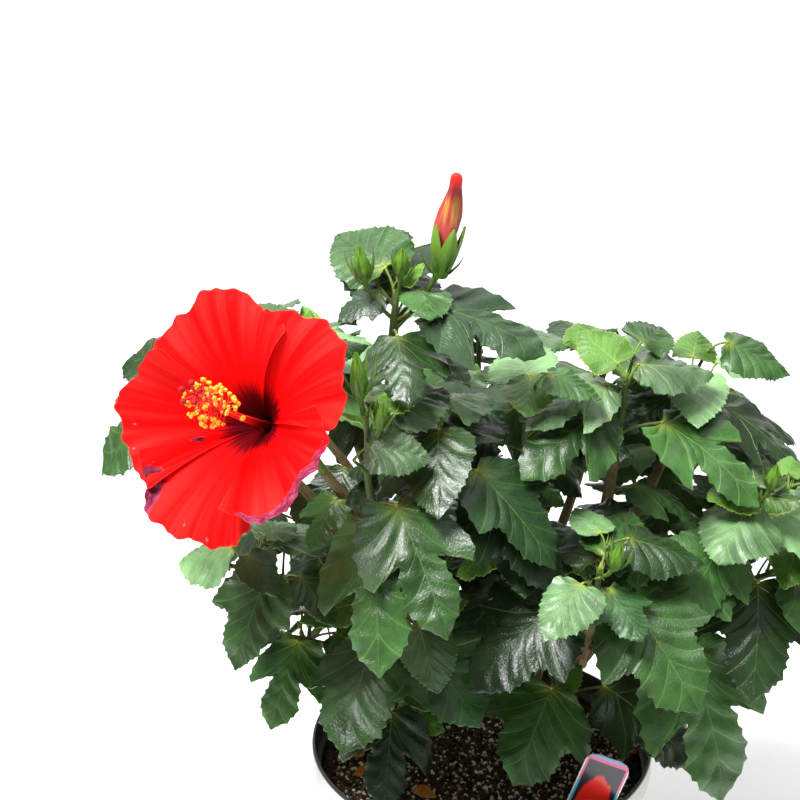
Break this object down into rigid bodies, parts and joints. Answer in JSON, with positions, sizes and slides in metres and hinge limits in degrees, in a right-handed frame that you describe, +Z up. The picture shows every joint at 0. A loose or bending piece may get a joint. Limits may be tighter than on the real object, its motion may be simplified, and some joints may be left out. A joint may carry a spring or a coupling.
{
  "type": "hibiscus shrub in pot",
  "caption": "Bushy hibiscus shrub with lobed glossy leaves, an open red bloom, a furled bloom and green buds, in a round nursery pot with its plant label.",
  "frame": {"origin": "centre of the pot's flat underside, which stands on the floor", "axes": "+Z up; -Y towards the plant's front, where the open bloom faces; +X to the right seen from the front"},
  "size_m": [0.435, 0.3176, 0.5232],
  "materials": {
    "pot": "satin",
    "soil": "rough",
    "label": "satin",
    "bark": "rough",
    "leaf": "glossy",
    "bloom": "soft"
  },
  "bodies": {
    "root": {"pot": "pot", "soil": "soil", "plant_label": "label", "stem_left": "bark", "stem_middle": "bark", "stem_right": "bark", "bough_back": "bark", "bough_back_left": "bark", "bough_back_low": "bark", "bough_back_low_left": "bark", "bough_back_low_right": "bark", "bough_back_middle": "bark", "bough_back_right": "bark", "bough_base_left": "bark", "bough_base_right": "bark", "bough_behind_bloom": "bark", "bough_bloom": "bark", "bough_centre": "bark", "bough_far_right": "bark", "bough_front": "bark", "bough_front_centre": "bark", "bough_front_left": "bark", "bough_front_low": "bark", "bough_left": "bark", "bough_low_left": "bark", "bough_low_right": "bark", "bough_lower_left": "bark", "bough_middle": "bark", "bough_right": "bark", "bough_right_top": "bark", "bough_top": "bark", "bough_top_right": "bark", "leaves_back": "leaf", "leaves_back_left": "leaf", "leaves_back_low": "leaf", "leaves_back_low_left": "leaf", "leaves_back_low_right": "leaf", "leaves_back_middle": "leaf", "leaves_back_right": "leaf", "leaves_base_left": "leaf", "leaves_base_right": "leaf", "leaves_behind_bloom": "leaf", "leaves_centre": "leaf", "leaves_far_right": "leaf", "leaves_front": "leaf", "leaves_front_centre": "leaf", "leaves_front_left": "leaf", "leaves_front_low": "leaf", "leaves_left": "leaf", "leaves_low_left": "leaf", "leaves_low_right": "leaf", "leaves_lower_left": "leaf", "leaves_middle": "leaf", "leaves_right": "leaf", "leaves_right_top": "leaf", "leaves_top": "leaf", "leaves_top_right": "leaf", "bloom": "bloom"}
  },
  "joints": []
}
